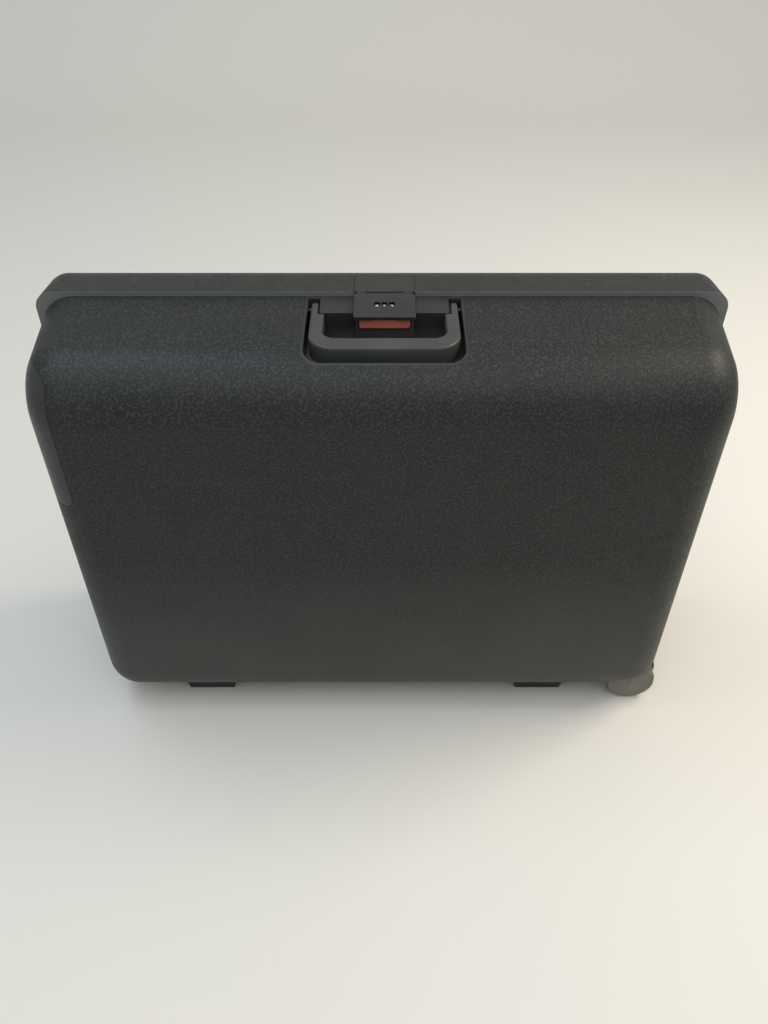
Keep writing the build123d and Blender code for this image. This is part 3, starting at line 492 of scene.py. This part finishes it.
dress(worn_rubber("tyre_rubber", TYRE_DUST), "front_tyre", "rear_tyre")
dress(worn_rubber("seal_rubber", SEAL_DUST), "rim_seal")
dress(
    plated_steel(),
    "latch_keeper", "lock_catch", "dial_shaft", "dial_detent", "base_hinge_leaves", "lid_hinge_leaves",
    "hinge_pins", "base_rivets", "lid_rivets", "hasp_pin", "hasp_hooks", "tab_spring",
)
dress(black_steel(), "handle_pins", "tow_pin", "wheel_axle")
print("rubber and steel pieces dressed")

# %% [markdown]
# The floor is a matt off-white sheet. Only the object counts, so the sheet has no pattern that could take
# attention, just a very soft change of tone and a paler part behind the case, where less light arrives.

# %% Material: floor
FLOOR_TONES = ((0.71, 0.695, 0.65), (0.74, 0.725, 0.68))
FLOOR_BEHIND = (0.83, 0.805, 0.745)
FLOOR_BEHIND_START = 0.4
FLOOR_BEHIND_END = 2.6


def floor_sheet():
    """Matt off-white with a very soft change of tone, paler towards the wall."""
    g = Graph("floor_sheet", roughness=0.85, specular=0.2)
    floor_tone = g.blend(g.noise(scale=0.8), *FLOOR_TONES)
    behind = g.remap(g.along("Y"), FLOOR_BEHIND_START, FLOOR_BEHIND_END)
    g.colour(g.blend(behind, floor_tone, FLOOR_BEHIND))
    return g.material


floor.data.materials.append(floor_sheet())
print("floor material:", floor.data.materials[0].name)

# %% [markdown]
# Each number wheel has ten flat faces and shows one digit in its window of the latch. The digits are plain
# white figures, printed on the faces. Blender's text object draws a figure as a flat curve, which is made a
# mesh and stretched to the printed size. Then figure k is turned about the wheel's axle by k tenths of a
# turn.

# %% Dial digits
DIAL_FACES = 10
FIRST_FIGURES = (8, 2, 3)
DIGIT_HEIGHT = 0.0041
DIGIT_WIDTH = 0.0031
DIGIT_LIFT = 0.00004
PAINT_TONES = ((0.62, 0.62, 0.60), (0.74, 0.74, 0.72))


def digit_mesh(figure):
    """The flat outline of one figure, centred on the origin, as arrays of points and faces."""
    curve = bpy.data.curves.new(f"figure_{figure}", "FONT")
    curve.body = str(figure)
    curve.align_x = "CENTER"
    curve.align_y = "CENTER"
    curve.resolution_u = 3
    holder = bpy.data.objects.new(f"figure_{figure}", curve)
    bpy.context.scene.collection.objects.link(holder)
    mesh = bpy.data.meshes.new_from_object(holder)
    points = np.empty(len(mesh.vertices) * 3)
    mesh.vertices.foreach_get("co", points)
    points = points.reshape(-1, 3)
    faces = [list(p.vertices) for p in mesh.polygons]
    bpy.data.objects.remove(holder)
    bpy.data.curves.remove(curve)
    bpy.data.meshes.remove(mesh)
    low, high = points.min(axis=0), points.max(axis=0)
    scale = np.array([DIGIT_WIDTH / (high[0] - low[0]), DIGIT_HEIGHT / (high[1] - low[1]), 1.0])
    points = (points - (low + high) / 2) * scale
    return points, faces


def dial_digits(name, dial_name, first):
    """Ten figures round a wheel of radius r. A flat point (u, v) of figure k, turned by t = k tenths of a
    turn, lies u along the axle, v cos t + r sin t behind it and r cos t - v sin t above it."""
    low, high = (np.array(c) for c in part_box(dial_name))
    centre = (low + high) / 2
    radius = (high[2] - low[2]) / 2 + DIGIT_LIFT
    points, faces, count = [], [], 0
    for k in range(DIAL_FACES):
        flat, own_faces = digit_mesh((first + k) % DIAL_FACES)
        turn = 2 * math.pi * k / DIAL_FACES
        y = flat[:, 1] * math.cos(turn) + radius * math.sin(turn)
        z = radius * math.cos(turn) - flat[:, 1] * math.sin(turn)
        points.append(np.column_stack((centre[0] + flat[:, 0], centre[1] + y, centre[2] + z)))
        faces += [[v + count for v in f] for f in own_faces]
        count += len(flat)
    return new_object(name, np.vstack(points), faces, smooth=False)


digit_paint = Graph("digit_paint", roughness=0.5, specular=0.4)
digit_paint.colour(digit_paint.blend(digit_paint.noise(scale=900.0), *PAINT_TONES))
for number, first_figure in enumerate(FIRST_FIGURES, start=1):
    digits = dial_digits(f"digits_{number}", f"dial_{number}", first_figure)
    digits.data.materials.append(digit_paint.material)
    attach(digits, f"dial_{number}")
print("figures in the windows:", FIRST_FIGURES)

# %% [markdown]
# From the front the front wheel shows as one dusty disc with no line between tyre and hub, so it wears a
# thin cap over its whole face. The cap is a surface of revolution: each point of a profile (radius r,
# distance f in front of the wheel's face) is carried round the axle, x = cx + r cos a, z = cz + r sin a,
# y = face - f. The profile runs up a short side, over a rounded edge, across a slightly hollow face with a
# ring in it, and up onto a low boss in the middle that hides the axle's head.

# %% Wheel cap
COVER_RADIUS = 0.0300
COVER_EDGE = 0.0014
COVER_REACH = 0.0024
COVER_ROOT = 0.0006
COVER_SEGMENTS = 96
EDGE_STEPS = 9
FACE_STEPS = 25
FACE_INNER = 0.0055
FACE_HOLLOW = 0.0009
RING_RADIUS = 0.0195
RING_WIDTH = 0.0009
RING_DEPTH = 0.0006
BOSS_RADII = (0.0050, 0.0046, 0.0025, 0.0004)
BOSS_RISES = (0.0004, 0.0007, 0.0008, 0.0008)


def cover_profile():
    """Radius and forward distance along the cap's outline, from the wheel's face to the middle."""
    face_outer = COVER_RADIUS - COVER_EDGE
    turn = np.linspace(0.0, math.pi / 2, EDGE_STEPS)
    edge_r = face_outer + COVER_EDGE * np.cos(turn)
    edge_f = COVER_REACH - COVER_EDGE + COVER_EDGE * np.sin(turn)
    face_r = np.linspace(face_outer, FACE_INNER, FACE_STEPS)[1:]
    hollow = FACE_HOLLOW * np.sin(math.pi * (face_r - FACE_INNER) / (face_outer - FACE_INNER))
    ring = RING_DEPTH * np.exp(-((face_r - RING_RADIUS) / RING_WIDTH) ** 2)
    radius = np.concatenate(([COVER_RADIUS], edge_r, face_r, BOSS_RADII))
    boss_f = COVER_REACH + np.array(BOSS_RISES)
    forward = np.concatenate(([-COVER_ROOT], edge_f, COVER_REACH - hollow - ring, boss_f))
    return radius, forward


def wheel_cover():
    """The cap of the front wheel as one lathe surface, closed in the middle by one face."""
    low, high = (np.array(c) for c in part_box("front_tyre"))
    centre = (low + high) / 2
    radius, forward = cover_profile()
    angle = np.linspace(0.0, 2 * math.pi, COVER_SEGMENTS, endpoint=False)
    x = centre[0] + radius[:, None] * np.cos(angle)
    z = centre[2] + radius[:, None] * np.sin(angle)
    y = np.broadcast_to((low[1] - forward)[:, None], x.shape)
    faces = grid_faces(len(radius), COVER_SEGMENTS, close_columns=True).tolist()
    last = (len(radius) - 1) * COVER_SEGMENTS
    faces.append([last + j for j in range(COVER_SEGMENTS)])
    return new_object("wheel_cover", np.stack((x, y, z), axis=-1).reshape(-1, 3), faces)


cover = wheel_cover()
cover.data.materials.append(nodes["front_hub"].data.materials[0])
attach(cover, "front_wheel")
print("wheel cap:", len(cover.data.polygons), "faces")

# %% [markdown]
# Behind the red tab sits its spring, a bowed steel strip. The construction model holds it as a rigid piece,
# but a push on the tab flattens the bow against the lock's case. This strip takes its place on the tab's body
# and keeps its bow. Its middle line follows y = y0 + rise (1 - (x / half)^2), and its thickness is even.

# %% Tab spring
SPRING_STRIP = 0.0005
SPRING_STEPS = 49


def tab_spring_strip():
    """The bowed strip as a closed band: four lines along the bow, joined all round and at both ends."""
    low, high = (np.array(c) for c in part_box("tab_spring"))
    half = (high[0] - low[0]) / 2
    rise = high[1] - low[1] - SPRING_STRIP
    x = np.linspace(-half, half, SPRING_STEPS)
    bow = low[1] + rise * (1.0 - (x / half) ** 2)
    points = np.empty((SPRING_STEPS, 4, 3))
    points[..., 0] = (x + (low[0] + high[0]) / 2)[:, None]
    points[..., 1] = bow[:, None] + np.array([0.0, SPRING_STRIP, SPRING_STRIP, 0.0])
    points[..., 2] = np.array([low[2], low[2], high[2], high[2]])
    faces = grid_faces(SPRING_STEPS, 4, close_columns=True).tolist()
    last = (SPRING_STEPS - 1) * 4
    faces += [[3, 2, 1, 0], [last, last + 1, last + 2, last + 3]]
    return new_object("tab_spring_strip", points.reshape(-1, 3), faces, smooth=False)


spring = tab_spring_strip()
spring.data.materials.append(nodes["tab_spring"].data.materials[0])
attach(spring, "release")
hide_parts("tab_spring")
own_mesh(spring)
print("tab spring:", len(spring.data.polygons), "faces")

# %% [markdown]
